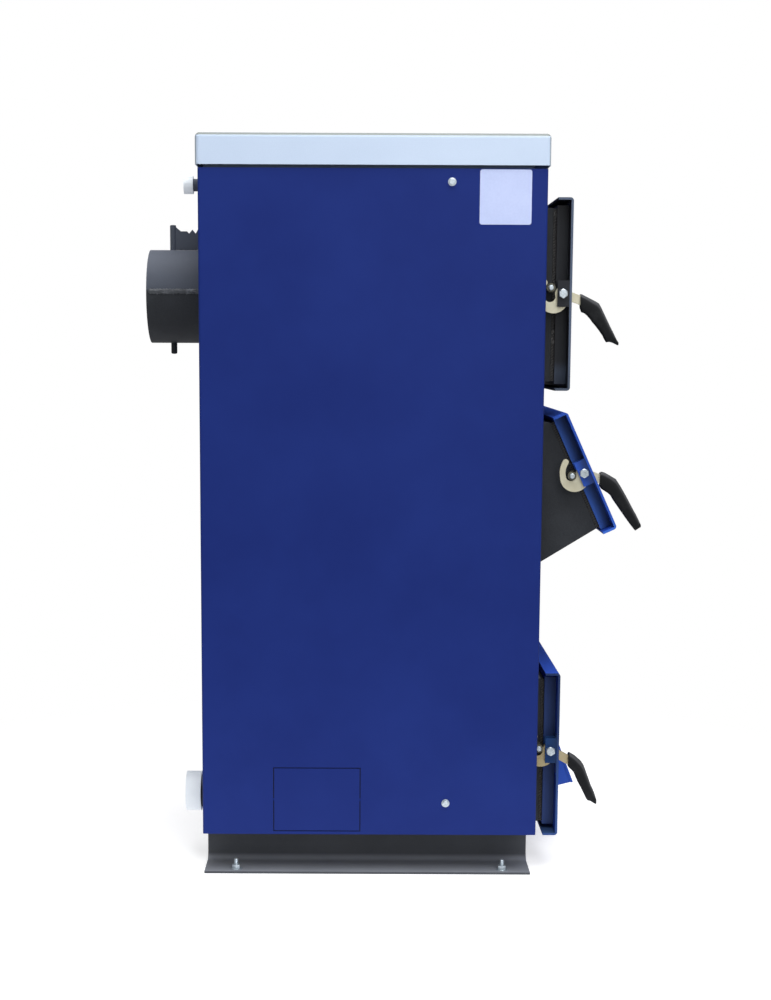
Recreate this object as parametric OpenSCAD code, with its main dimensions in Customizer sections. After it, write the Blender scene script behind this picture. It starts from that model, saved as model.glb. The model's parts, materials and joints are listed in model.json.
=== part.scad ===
// Solid fuel boiler: welded water vessel on a base, sheet casing, three hinged doors
// on the front with hook latches, and a flue spigot with a throttle at the rear.
// The front faces -Y, the latches are on the -X side and the hinges on the +X side.
// The origin is on the floor, under the middle of the casing.

/* [Casing] */
// Width over the side panels
casing_w = 460; // [420:1:520]
// Depth from the front sheet to the rear sheet
casing_d = 584; // [550:1:640]
// Height of the bottom edge of the casing above the floor
casing_bottom = 72; // [66:1:76]
// Height of the top edge of the casing above the floor
casing_top = 1214; // [1200:1:1260]
// Thickness of the casing sheet
sheet_t = 1.5; // [1:0.1:2.5]
// Outside radius of the folds in the casing sheet
fold_r = 4; // [3:0.5:8]
// Width of the side panel's folded lips at the front and the rear
lip = 20; // [12:1:30]
// Distance of the front sheets behind the lips
front_recess = 20; // [18:0.5:24]
// Depth of wool between the casing and the vessel
wool_t = 30; // [22:1:36]
// Clearance between neighbouring casing sheets
sheet_gap = 1; // [0.5:0.1:2]

/* [Knock-out] */
// Length of the cut rectangle in the side panel
knockout_l = 151; // [120:1:180]
// Height of the cut rectangle
knockout_h = 113; // [90:1:130]
// Middle of the rectangle, measured back from mid casing
knockout_y = 92; // [60:1:120]
// Lower edge of the rectangle above the casing bottom
knockout_rise = 6; // [4:1:20]
// Width of the cut line
knockout_cut = 1.6; // [1:0.1:2.5]
// Length of the bridges that keep the piece in place
knockout_bridge = 5; // [3:0.5:10]

/* [Lid] */
// Height of the lid's rim
lid_h = 52; // [36:1:60]
// Dark gap between the casing and the lid
lid_gap = 5; // [2:0.5:8]
// Overhang of the lid past the casing
lid_overhang = 4; // [1:0.5:8]
// Radius of the lid's corners and top edge
lid_r = 8; // [6:0.5:12]

/* [Base] */
// Distance of the base wall in from the casing side
base_setback = 80; // [60:1:100]
// Thickness of the base wall
base_wall = 5; // [4:0.5:8]
// Thickness of the base's floor flange
flange_t = 4; // [3:0.5:8]
// Inside radius of the bend between the base wall and its flange
base_bend = 16; // [8:1:24]
// Distance of the base's front end behind the casing front
base_front_inset = 8.5; // [5:0.5:30]
// Distance of the base's rear end ahead of the rear sheet
base_rear_inset = 0.5; // [0.5:0.5:30]
// Diameter of the anchor holes
anchor_d = 11; // [9:0.5:14]
// Distance of the anchor holes in from the flange edge
anchor_edge = 16; // [12:1:24]
// Distance of the rear anchor holes from the base's rear end
anchor_rear = 55; // [30:1:80]
// Distance of the front anchor holes from the base's front end
anchor_front = 48.5; // [30:0.5:80]

/* [Vessel] */
// Thickness of the water walls
water_wall = 40; // [30:1:48]
// Thickness of the vessel floor
vessel_floor_t = 8; // [6:0.5:12]
// Distance of the vessel top below the casing top
vessel_drop = 5; // [3:0.5:15]
// Height of the underside of the heat exchanger shelf
shelf_z = 800; // [760:1:815]
// Thickness of the heat exchanger shelf
shelf_t = 40; // [30:1:46]
// Gas gap between the shelf and the front water wall
shelf_gap = 112; // [80:1:160]
// Height of the grate bars' underside
grate_z = 345; // [342:1:380]
// Height of the grate bars
grate_t = 20; // [14:1:30]
// Width of one grate bar
grate_bar = 14; // [10:1:20]
// Number of grate bars
grate_bars = 9; // [6:1:10]
// Clearance of the grate in its seat
grate_gap = 0.3; // [0.2:0.1:0.6]

/* [Flue] */
// Inside diameter of the flue spigot
flue_d = 160; // [140:1:170]
// Wall of the flue spigot
flue_wall = 3; // [2:0.5:6]
// Height of the flue axis
flue_z = 1008; // [990:1:1030]
// Length of the flue spigot behind the casing
flue_l = 106; // [90:1:140]

/* [Damper] */
// Diameter of the damper rod
rod_d = 11; // [8:0.5:14]
// Distance of the rod behind the casing
rod_back = 66; // [60:1:72]
// Length of the rod below the flue
rod_below = 17; // [10:1:30]
// Height of the rod above the flue
rod_above = 43; // [38:1:60]
// Length of the handle plate from the rod's middle
handle_l = 56; // [40:1:58]
// Height of the handle plate
handle_h = 32; // [24:1:36]
// Length of the handle plate's ramp down from the rod
handle_ramp = 14; // [10:1:18]
// Thickness of the handle plate
handle_t = 4; // [3:0.5:6]
// Gap between the flue and the handle plate
handle_gap = 1.5; // [1:0.25:3]
// Depth of the notches in the handle plate
notch = 4; // [3:0.5:6]
// Height of the tooth between the notches
tooth = 3; // [1:0.5:5]
// Width of the throttle blade along the flue
blade_w = 62; // [40:1:68]
// Thickness of the throttle blade
blade_t = 3; // [2:0.5:5]
// Clearance of the blade in the flue
blade_gap = 6; // [5:0.5:12]
// Clearance of the rod in its holes
rod_gap = 0.3; // [0.2:0.05:0.5]

/* [Water connections] */
// Distance of both nozzles in from the left water wall
nozzle_inset = 30; // [20:1:44]
// Height of the return nozzle
return_z = 123; // [120:1:150]
// Outside diameter of the return nozzle
return_d = 58; // [40:1:60]
// Outside diameter of the return nozzle's cap
return_cap_d = 71; // [66:1:76]
// Length of the return nozzle's cap
return_cap_l = 27; // [20:1:34]
// Length of the return nozzle behind the casing
return_l = 34; // [30:1:50]
// Height of the vent nozzle
vent_z = 1194; // [1188:1:1196]
// Outside diameter of the vent nozzle
vent_d = 21; // [16:0.5:24]
// Outside diameter of the vent nozzle's cap
vent_cap_d = 30; // [27:1:36]
// Length of the vent nozzle's cap
vent_cap_l = 16; // [12:1:22]
// Length of the vent nozzle behind the casing
vent_l = 29; // [24:1:40]
// Thickness of a cap's closed end
cap_end = 3; // [2:0.5:5]
// Clearance of a cap on its nozzle
cap_gap = 0.3; // [0.2:0.1:0.5]

/* [Doors] */
// Distance from the neck's outside to the door's side edge
door_margin = 35; // [32:1:40]
// Depth of the folded door pan
door_depth = 26; // [22:1:27]
// Thickness of the door plate
plate_t = 4; // [3:0.5:5]
// Outside radius of the door plate's folds
plate_r = 6; // [5:0.5:9]
// Depth of the insulated core behind the door plate
core_t = 20; // [16:1:22]
// Overlap of the core past the neck
core_lap = 4; // [3:0.5:5]
// Thickness of the gasket rope
gasket_t = 6; // [4:0.5:8]
// Width of the gasket rope
gasket_w = 11; // [9:0.5:14]
// Distance of the gasket in from the neck's outside
gasket_inset = 1; // [0.5:0.5:2]
// Gap between the gasket and the neck
seal_gap = 0.5; // [0.3:0.1:1]
// Thickness of the heat shield behind the core
shield_t = 12; // [8:1:16]
// Clearance of the heat shield inside the neck
shield_gap = 12; // [11:1:20]
// Wall of the door necks
neck_wall = 5; // [4:0.5:8]

/* [Hinges] */
// Distance of the hinge pin past the door's side edge
hinge_out = 8; // [6:0.5:10]
// Distance of the hinge pin behind the door's face
hinge_back = 18; // [16:0.5:19]
// Diameter of the hinge pins
pin_d = 10; // [8:0.5:12]
// Clearance of the pins in the hinge ears
pin_gap = 0.3; // [0.2:0.05:0.5]
// Thickness of the hinge ears and lugs
ear_t = 8; // [6:0.5:12]
// Outside radius of the hinge ears and lugs round the pin
ear_r = 9; // [8:0.5:11]
// Distance of the hinge ears in from the door's ends
ear_inset = 50; // [40:1:60]
// Running gap between an ear and its lug
ear_gap = 0.5; // [0.3:0.1:1]
// Distance of the lug's arm behind the neck's edge
lug_gap = 2.5; // [1:0.5:3]
// Thickness of the lug's arm
lug_t = 8; // [6:0.5:8]
// Height of the hinge pin above its ear
pin_rise = 3; // [1:0.5:6]

/* [Latches] */
// Distance of the lever's middle in from the door's side edge
lever_inset = 11; // [10:0.5:13]
// Thickness of the lever
lever_t = 6; // [4:0.5:8]
// Distance of the pivot behind the door's face
pivot_back = 15; // [14:0.5:16]
// Diameter of the pivot bolt
bolt_d = 10; // [8:0.5:11]
// Height of the latch bracket
bracket_h = 44; // [36:1:50]
// Thickness of the latch bracket's cheeks
bracket_t = 4; // [3:0.5:5]
// Clearance between the lever and the bracket's cheeks
lever_gap = 3; // [2:0.5:3.5]
// Height of the door plate's slot above the pivot
slot_up = 29; // [27:1:36]
// Depth of the door plate's slot below the pivot
slot_down = 44; // [43:1:54]
// Clearance of the pivot bolt in the lever
pivot_gap = 0.2; // [0.15:0.05:0.3]
// Distance of the keeper behind the pivot
keeper_back = 20.5; // [19.5:0.5:22]
// Diameter of the keeper
keeper_d = 12; // [10:0.5:13]
// Diameter of the keeper's head
keeper_head_d = 15; // [13:0.5:17]
// Clearance of the keeper in the hook
hook_gap = 2.2; // [1.5:0.1:3]
// Width of the hook's band
hook_band = 10; // [8:0.5:13]
// Angle of the hook's tip above the lever's axis
hook_tip_a = 31; // [26:1:34]
// Width of the lever's arm
arm_w = 16; // [12:1:18]
// Length of the tang inside the grip
tang_l = 26; // [18:1:30]
// Width of the tang
tang_w = 12; // [8:1:13]
// Thickness of the grip
grip_t = 18; // [14:1:20]
// Radius of the grip's edges
grip_r = 3; // [2:0.5:4]
// Clearance of the tang in the grip
tang_gap = 0.2; // [0.1:0.05:0.3]

/* [Cleaning door] */
// Distance of the door's face ahead of the casing
cleaning_out = 47; // [43:0.5:50]
// Height of the door's middle
cleaning_z = 1008.5; // [1004:0.5:1010]
// Gap between the door's rim and its core
cleaning_rim = 7; // [1:0.5:8]
// Height over the neck behind the door
cleaning_neck_h = 294; // [280:1:300]
// Height of the latch pivot above the door's middle
cleaning_pivot = 2; // [-8:0.5:8]
// Height of the keeper above the pivot
cleaning_keeper = 10; // [8:0.5:11]
// Turn of the lever at rest
cleaning_turn = 0; // [-2:0.5:3]

/* [Feed door] */
// Distance of the door's middle ahead of the casing
feed_out = 88.6; // [84:0.2:100]
// Height of the door's middle
feed_z = 711; // [705:0.5:716]
// Gap between the door's rim and its core
feed_rim = 1; // [0.5:0.5:4]
// Height over the chute's mouth along the slope
feed_neck_h = 202; // [190:1:206]
// Lean of the door away from upright
feed_slant = 24.5; // [22:0.5:27]
// Fall of the chute's floor towards the firebox
chute_slope = 31.6; // [28:0.2:36]
// Height of the latch pivot above the door's middle
feed_pivot = 1; // [-6:0.5:6]
// Height of the keeper above the pivot
feed_keeper = 4; // [3:0.5:6]
// Turn of the lever at rest
feed_turn = 24.5; // [22:0.5:26]

/* [Ash door] */
// Distance of the door's face ahead of the casing
ash_out = 41.5; // [41:0.5:50]
// Height of the door's middle
ash_z = 209; // [206:0.5:214]
// Gap between the door's rim and its core
ash_rim = 8; // [1:0.5:10]
// Height over the neck behind the door
ash_neck_h = 260; // [250:1:266]
// Height of the latch pivot above the door's middle
ash_pivot = 7; // [0:0.5:12]
// Height of the keeper above the pivot
ash_keeper = 4; // [3:0.5:6]
// Turn of the lever at rest
ash_turn = 10; // [6:0.5:12]

/* [Air inlet] */
// Width of the air opening
air_w = 100; // [70:1:120]
// Height of the air opening
air_h = 68; // [50:1:72]
// Height of the flap's hinge above the door's middle
flap_rise = 9; // [4:0.5:14]
// Distance of the flap's hinge ahead of the door's face
flap_out = 6; // [5.5:0.5:9]
// Length of the flap
flap_l = 102; // [96:1:110]
// Thickness of the flap
flap_t = 4; // [3:0.5:5]
// Lean of the flap away from upright
flap_lean = 21; // [18:0.5:26]
// Diameter of the flap's hinge rod
flap_rod_d = 8; // [6:0.5:9]
// Overlap of the flap past the inlet's cheeks
flap_lap = 6; // [4:0.5:10]
// Thickness of the inlet's cheeks
cheek_t = 4; // [3:0.5:6]
// Clearance of the flap on the cheeks and of its rod in the lugs
flap_gap = 0.4; // [0.3:0.1:0.6]
// Width of the lugs that hold the rod
flap_lug_w = 8; // [6:0.5:12]

/* [Hidden] */

$fn = 48;
cut = 1;

// Plan of the casing and the vessel
half_w = casing_w / 2;
front_y = -casing_d / 2;
rear_y = casing_d / 2;
vessel_half_w = half_w - wool_t;
vessel_front = front_y + wool_t;
vessel_rear = rear_y - wool_t;
inner_half_w = vessel_half_w - water_wall;
inner_front = vessel_front + water_wall;
inner_rear = vessel_rear - water_wall;
vessel_top_z = casing_top - vessel_drop;
lid_z = casing_top + lid_gap;
lid_top_z = lid_z + lid_h;

// Doors and necks
neck_half_w = inner_half_w + neck_wall;
door_w = 2 * (neck_half_w + door_margin);
core_back = plate_t + core_t;
seat = core_back + gasket_t + seal_gap;
hinge_x = door_w / 2 + hinge_out;
lever_x = -(door_w / 2 - lever_inset);
slot_half_w = lever_t / 2 + lever_gap;
function door_h(neck_h, rim) = neck_h + 2 * (core_lap + rim + plate_t);
cleaning_h = door_h(cleaning_neck_h, cleaning_rim);
feed_h = door_h(feed_neck_h, feed_rim);
ash_h = door_h(ash_neck_h, ash_rim);
cleaning_y = front_y - cleaning_out;
feed_y = front_y - feed_out;
ash_y = front_y - ash_out;
ash_neck_bottom = ash_z - ash_neck_h / 2;
ash_neck_top = ash_z + ash_neck_h / 2;
cleaning_neck_bottom = cleaning_z - cleaning_neck_h / 2;
cleaning_neck_top = cleaning_z + cleaning_neck_h / 2;
front_sheet_y = front_y + front_recess;

// The vessel floor is flush with the inside of the ash neck, and the base carries it
floor_top_z = ash_neck_bottom + neck_wall;
base_h = floor_top_z - vessel_floor_t;
base_half_w = half_w - base_setback;
base_front = front_y + base_front_inset;
base_rear = rear_y - sheet_t - base_rear_inset;

// Mouth and floor of the feed chute, in the upright plane along the boiler
function feed_point(depth, rise) = [
    feed_y + depth * cos(feed_slant) + rise * sin(feed_slant),
    feed_z - depth * sin(feed_slant) + rise * cos(feed_slant)
];
mouth_top = feed_point(seat, feed_neck_h / 2);
mouth_bottom = feed_point(seat, -feed_neck_h / 2);
function chute_floor(y) = mouth_bottom[1] - (y - mouth_bottom[0]) * tan(chute_slope);
chute_wall_rise = neck_wall / cos(chute_slope);

// Flue and rear fittings
flue_r = flue_d / 2 + flue_wall;
flue_end = rear_y + flue_l;
rod_y = rear_y + rod_back;
nozzle_x = -(inner_half_w - nozzle_inset);
notch_shares = [0.52, 0.73];

// Hook of the latch: the keeper runs in a channel round the pivot
keeper_max_rise = max(cleaning_keeper, feed_keeper, ash_keeper);
keeper_min_rise = min(cleaning_keeper, feed_keeper, ash_keeper);
channel_out = norm([keeper_back, keeper_max_rise]) + keeper_d / 2 + hook_gap;
channel_in = norm([keeper_back, keeper_min_rise]) - keeper_d / 2 - hook_gap;
channel_mid = (channel_out + channel_in) / 2;
channel_r = (channel_out - channel_in) / 2;
channel_end_a = atan2(feed_keeper, keeper_back) - feed_turn;
channel_open_a = 112;
hook_root_a = -20;
hub_relief = 0.4;
hook_r = channel_out + hook_band;
hook_belly = [15, -8];
hook_belly_r = 25;
grip_start = [-34, -12];
grip_knee = [-52, -23];
cleaning_grip_end = [-87, -83];
feed_grip_end = [-97, -95];
ash_grip_end = [-86, -78];
grip_start_w = 24;
grip_knee_w = 27;
grip_end_w = 13;
tang_dir = (grip_knee - grip_start) / norm(grip_knee - grip_start);
slot_reach = 10;
keeper_inset = 1;
keeper_head_t = 3;
ear_relief = 1;

// Air inlet on the ash door
flap_half_w = air_w / 2 + cheek_t + flap_lap;
flap_rest = flap_t / 2 + flap_gap;
cheek_start = 12;
cheek_stop = 8;
sill_drop = 8;
sill_inset = 4;
air_drop = 10;

steel_dark = "#33363b";
steel_blue = "#22347f";
door_blue = "#2a48a8";
zinc_yellow = "#c9bd8a";

module at_cleaning() { translate([0, cleaning_y, cleaning_z]) children(); }
module at_feed() { translate([0, feed_y, feed_z]) rotate([-feed_slant, 0, 0]) children(); }
module at_ash() { translate([0, ash_y, ash_z]) children(); }
module at_lever(pivot, turn) { translate([lever_x, pivot_back, pivot]) rotate([turn, 0, 0]) children(); }

// Upright plane along the boiler, extruded across it
module across(width) { rotate([90, 0, 90]) linear_extrude(width, center = true) children(); }
module block(low, high) { translate(low) cube(high - low); }

module rounded_rect(size, r) {
    square([size[0] - 2 * r, size[1]], center = true);
    square([size[0], size[1] - 2 * r], center = true);
    for (sx = [-1, 1], sy = [-1, 1])
        translate([sx * (size[0] / 2 - r), sy * (size[1] / 2 - r)]) circle(r);
}

// Base

module rail_profile() {
    translate([base_half_w - base_wall, 0]) square([base_wall, base_h]);
    translate([base_half_w - base_wall, 0]) square([base_setback + base_wall, flange_t]);
    translate([base_half_w, flange_t]) difference() {
        translate([-cut, -cut]) square(base_bend + cut);
        translate([base_bend, base_bend]) circle(base_bend);
    }
}

module base_rails() {
    color(steel_dark)
    for (side = [0, 1])
        mirror([side, 0, 0]) difference() {
            translate([0, base_rear, 0]) rotate([90, 0, 0]) linear_extrude(base_rear - base_front) rail_profile();
            for (y = [base_front + anchor_front, base_rear - anchor_rear])
                translate([half_w - anchor_edge, y, -cut]) cylinder(d = anchor_d, h = flange_t + 2 * cut);
        }
}

// A block between two distances from the middle, on the side that is given
module block_sym(side, x_in, x_out, y_low, y_high, z_low, z_high) {
    x_low = side > 0 ? x_in : -x_out;
    block([x_low, y_low, z_low], [x_low + x_out - x_in, y_high, z_high]);
}

module base_sills() {
    half = base_half_w - base_wall;
    color(steel_dark) {
        block([-half, base_front, 0], [half, base_front + base_wall, base_h]);
        block([-half, base_rear - base_wall, 0], [half, base_rear, base_h]);
    }
}

// Vessel

module vessel_floor() {
    color(steel_dark)
    block([-vessel_half_w, vessel_front, base_h], [vessel_half_w, vessel_rear, floor_top_z]);
}

module side_water_wall(side) {
    color(steel_dark)
    block_sym(side, inner_half_w, vessel_half_w, vessel_front, vessel_rear, floor_top_z, vessel_top_z);
}

module left_water_wall() { side_water_wall(-1); }
module right_water_wall() { side_water_wall(1); }

module flue_hole(y_low, y_high, gap) {
    translate([0, y_low - cut, flue_z]) rotate([-90, 0, 0]) cylinder(r = flue_r + gap, h = y_high - y_low + 2 * cut);
}

module rear_water_wall() {
    color(steel_dark)
    difference() {
        block([-inner_half_w, inner_rear, floor_top_z], [inner_half_w, vessel_rear, vessel_top_z]);
        flue_hole(inner_rear, vessel_rear, rod_gap);
    }
}

module front_water_wall() {
    color(steel_dark) {
        block([-inner_half_w, vessel_front, ash_neck_top], [inner_half_w, inner_front, chute_floor(vessel_front)]);
        block([-inner_half_w, vessel_front, mouth_top[1]], [inner_half_w, inner_front, cleaning_neck_bottom]);
        block([-inner_half_w, vessel_front, cleaning_neck_top], [inner_half_w, inner_front, vessel_top_z]);
    }
}

module vessel_top() {
    color(steel_dark)
    block([-inner_half_w, inner_front, vessel_top_z - water_wall], [inner_half_w, inner_rear, vessel_top_z]);
}

module heat_exchanger_shelf() {
    color(steel_dark)
    block([-inner_half_w, inner_front + shelf_gap, shelf_z], [inner_half_w, inner_rear, shelf_z + shelf_t]);
}

module grate() {
    half = inner_half_w - grate_gap;
    y_low = inner_front + grate_gap;
    y_high = inner_rear - grate_gap;
    pitch = (2 * half - grate_bar) / (grate_bars - 1);
    color("#2b2b2c") {
        for (i = [0 : grate_bars - 1])
            block([-half + i * pitch, y_low, grate_z], [-half + i * pitch + grate_bar, y_high, grate_z + grate_t]);
        for (y = [y_low, y_high - grate_bar])
            block([-half, y, grate_z], [half, y + grate_bar, grate_z + grate_t]);
    }
}

// Necks that the doors close on

module straight_neck(y, z, h) {
    color(steel_dark)
    difference() {
        block([-neck_half_w, y + seat, z - h / 2], [neck_half_w, vessel_front, z + h / 2]);
        block([-inner_half_w, y + seat - cut, z - h / 2 + neck_wall],
              [inner_half_w, vessel_front + cut, z + h / 2 - neck_wall]);
    }
}

module ash_neck() { straight_neck(ash_y, ash_z, ash_neck_h); }
module cleaning_neck() { straight_neck(cleaning_y, cleaning_z, cleaning_neck_h); }

module feed_chute() {
    reach = 40;
    top_in = mouth_top[1] - neck_wall;
    color(steel_dark)
    difference() {
        across(2 * neck_half_w)
            polygon([mouth_top, mouth_bottom, [vessel_front, chute_floor(vessel_front)], [vessel_front, mouth_top[1]]]);
        across(2 * inner_half_w)
            polygon([
                [mouth_top[0] - reach, top_in],
                [mouth_bottom[0] - reach, chute_floor(mouth_bottom[0] - reach) + chute_wall_rise],
                [vessel_front + cut, chute_floor(vessel_front + cut) + chute_wall_rise],
                [vessel_front + cut, top_in]
            ]);
    }
}

// Casing

module panel_plan() {
    difference() {
        rounded_rect([casing_w, casing_d], fold_r);
        rounded_rect([casing_w - 2 * sheet_t, casing_d - 2 * sheet_t], fold_r - sheet_t);
        translate([-half_w + lip, -casing_d]) square([casing_w, 2 * casing_d]);
    }
}

module knockout_lines() {
    half_l = knockout_l / 2;
    half_h = knockout_h / 2;
    run_z = half_h - knockout_bridge / 2;
    translate([-half_w + sheet_t / 2, knockout_y, casing_bottom + knockout_rise + half_h]) {
        for (s = [-1, 1]) {
            translate([0, 0, s * half_h]) cube([4 * sheet_t, knockout_l, knockout_cut], center = true);
            for (t = [-1, 1])
                translate([0, s * half_l, t * (knockout_bridge / 2 + run_z / 2)])
                    cube([4 * sheet_t, knockout_cut, run_z + knockout_cut], center = true);
        }
    }
}

module side_panel() {
    color(steel_blue)
    difference() {
        union() {
            translate([0, 0, casing_bottom]) linear_extrude(casing_top - casing_bottom) panel_plan();
            block([-half_w + sheet_t / 2, front_y + sheet_t / 2, casing_bottom],
                  [-half_w + lip, rear_y - sheet_t / 2, casing_bottom + sheet_t]);
        }
        knockout_lines();
    }
}

module left_side_panel() { side_panel(); }
module right_side_panel() { mirror([1, 0, 0]) side_panel(); }

// Heights between the necks, each from its lower to its upper end
function front_spans(y, top) = [
    [ash_neck_top + sheet_gap, chute_floor(y) - sheet_gap],
    [mouth_top[1] + sheet_gap, cleaning_neck_bottom - sheet_gap],
    [cleaning_neck_top + sheet_gap, top]
];

module front_panels() {
    y_high = front_sheet_y + sheet_t;
    color(steel_blue) {
        for (span = front_spans(y_high, casing_top))
            block([-neck_half_w, front_sheet_y, span[0]], [neck_half_w, y_high, span[1]]);
        for (side = [-1, 1])
            block_sym(side, neck_half_w + sheet_gap, half_w - sheet_t - sheet_gap,
                      front_sheet_y, y_high, casing_bottom + sheet_t + sheet_gap, casing_top);
    }
}

module nozzle_holes(y_low, y_high, gap) {
    for (nozzle = [[return_z, return_d], [vent_z, vent_d]])
        translate([nozzle_x, y_low - cut, nozzle[0]]) rotate([-90, 0, 0])
            cylinder(d = nozzle[1] + 2 * gap, h = y_high - y_low + 2 * cut);
}

module rear_sheet(z_low, z_high) {
    half = half_w - lip - sheet_gap;
    color(steel_blue)
    difference() {
        block([-half, rear_y - sheet_t, z_low], [half, rear_y, z_high]);
        flue_hole(rear_y - sheet_t, rear_y, sheet_gap);
        nozzle_holes(rear_y - sheet_t, rear_y, sheet_gap);
    }
}

module rear_panel_lower() { rear_sheet(casing_bottom, flue_z - sheet_gap / 2); }
module rear_panel_upper() { rear_sheet(flue_z + sheet_gap / 2, casing_top); }

module lid() {
    size = [casing_w + 2 * lid_overhang, casing_d + 2 * lid_overhang];
    color("#d0dcec")
    difference() {
        hull()
            for (sx = [-1, 1], sy = [-1, 1])
                translate([sx * (size[0] / 2 - lid_r), sy * (size[1] / 2 - lid_r), lid_z]) {
                    cylinder(r = lid_r, h = lid_h / 2, $fn = 32);
                    translate([0, 0, lid_h - lid_r]) sphere(r = lid_r, $fn = 32);
                }
        translate([0, 0, lid_z - cut]) linear_extrude(lid_h - lid_r + cut)
            rounded_rect(size - 2 * [sheet_t, sheet_t], lid_r - sheet_t);
        translate([0, 0, lid_z]) linear_extrude(lid_h - sheet_t)
            rounded_rect(size - 2 * [lid_r, lid_r], lid_r - sheet_t);
    }
}

module wool_lining() {
    side_bottom = casing_bottom + sheet_t + sheet_gap;
    side_top = vessel_top_z - sheet_gap;
    mid_half = vessel_half_w - sheet_gap;
    wool_front = front_sheet_y + sheet_t;
    top_inset = lid_r + sheet_gap;
    color("#c9b98a") {
        for (side = [-1, 1])
            block_sym(side, vessel_half_w, half_w - sheet_t, wool_front, rear_y - fold_r - sheet_gap,
                      side_bottom, side_top);
        difference() {
            block([-mid_half, vessel_rear, base_h + sheet_gap], [mid_half, rear_y - sheet_t, side_top]);
            flue_hole(vessel_rear, rear_y, sheet_gap);
            nozzle_holes(vessel_rear, rear_y, sheet_gap);
        }
        for (span = front_spans(vessel_front, side_top))
            block([-neck_half_w, wool_front, span[0]], [neck_half_w, vessel_front, span[1]]);
        block([-half_w + top_inset, wool_front + sheet_gap, vessel_top_z],
              [half_w - top_inset, rear_y - top_inset, lid_top_z - sheet_t]);
    }
}

// Rear fittings

module flue_spigot() {
    length = flue_end - inner_rear;
    color(steel_dark)
    translate([0, inner_rear, flue_z]) rotate([-90, 0, 0]) difference() {
        cylinder(r = flue_r, h = length, $fn = 96);
        translate([0, 0, -cut]) cylinder(d = flue_d, h = length + 2 * cut, $fn = 96);
        for (s = [-1, 1])
            translate([0, 0, rod_y - inner_rear]) rotate([90 * s, 0, 0])
                cylinder(d = rod_d + 2 * rod_gap, h = flue_r + cut);
    }
}

module nozzle(z, d, bore, length) {
    translate([nozzle_x, vessel_rear, z]) rotate([-90, 0, 0]) difference() {
        cylinder(d = d, h = length + wool_t);
        translate([0, 0, cut]) cylinder(d = bore, h = length + wool_t);
    }
}

module water_nozzles() {
    nozzle_wall = 4;
    color(steel_dark) {
        nozzle(return_z, return_d, return_d - 2 * nozzle_wall, return_l);
        nozzle(vent_z, vent_d, vent_d - 2 * nozzle_wall, vent_l);
    }
}

module cap(z, nozzle_d, nozzle_l, d, length) {
    translate([nozzle_x, rear_y + nozzle_l + cap_end - length, z]) rotate([-90, 0, 0]) difference() {
        cylinder(d = d, h = length);
        translate([0, 0, -cut]) cylinder(d = nozzle_d + 2 * cap_gap, h = length - cap_end + cut);
    }
}

module nozzle_caps() {
    color("#eceae4") {
        cap(return_z, return_d, return_l, return_cap_d, return_cap_l);
        cap(vent_z, vent_d, vent_l, vent_cap_d, vent_cap_l);
    }
}

// Notched plate that locks the damper, from the rod towards the casing
module handle_outline() {
    tip = rod_above - handle_gap;
    first = -notch_shares[0] * handle_l;
    second = -notch_shares[1] * handle_l;
    high = handle_h + tooth;
    low = handle_h - notch;
    polygon([
        [0, 0], [0, tip], [-rod_d / 4, tip], [-handle_ramp, handle_h], [first + notch, handle_h],
        [first, low], [(first + second) / 2, high], [second, low], [second - notch, high],
        [-handle_l, high], [-handle_l, 0]
    ]);
}

module damper() {
    blade_r = flue_d / 2 - blade_gap;
    handle_z = flue_r + handle_gap;
    color(steel_dark)
    translate([0, rod_y, flue_z]) {
        translate([0, 0, -flue_r - rod_below]) cylinder(d = rod_d, h = 2 * flue_r + rod_below + rod_above);
        intersection() {
            rotate([0, 90, 0]) cylinder(r = blade_r, h = blade_t, center = true, $fn = 96);
            cube([blade_t, blade_w, 2 * blade_r], center = true);
        }
        translate([0, 0, handle_z]) across(handle_t) handle_outline();
    }
}

// Doors

module pan_profile(h) {
    difference() {
        union() {
            translate([plate_r, -h / 2]) square([door_depth - plate_r, h]);
            translate([0, -h / 2 + plate_r]) square([door_depth, h - 2 * plate_r]);
            for (s = [-1, 1]) translate([plate_r, s * (h / 2 - plate_r)]) circle(plate_r);
        }
        translate([plate_t, -h / 2 + plate_t]) square([door_depth, h - 2 * plate_t]);
    }
}

module door_pan(h, pivot, paint) {
    color(paint)
    difference() {
        across(door_w) pan_profile(h);
        block([lever_x - slot_half_w, -cut, pivot - slot_down],
              [lever_x + slot_half_w, plate_t + cut, pivot + slot_up]);
    }
}

module door_core(neck_h, paint) {
    half_core_w = neck_half_w + core_lap;
    half_core_h = neck_h / 2 + core_lap;
    half_shield_w = inner_half_w - shield_gap;
    half_shield_h = neck_h / 2 - neck_wall - shield_gap;
    color(paint) {
        block([-half_core_w, plate_t, -half_core_h], [half_core_w, core_back, half_core_h]);
        block([-half_shield_w, core_back - cut, -half_shield_h],
              [half_shield_w, core_back + shield_t, half_shield_h]);
    }
}

module door_gasket(neck_h) {
    size = [2 * neck_half_w, neck_h] - 2 * [gasket_inset, gasket_inset];
    color("#d8d3c6")
    translate([0, core_back + gasket_t, 0]) rotate([90, 0, 0]) linear_extrude(gasket_t) difference() {
        square(size, center = true);
        square(size - 2 * [gasket_w, gasket_w], center = true);
    }
}

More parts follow.
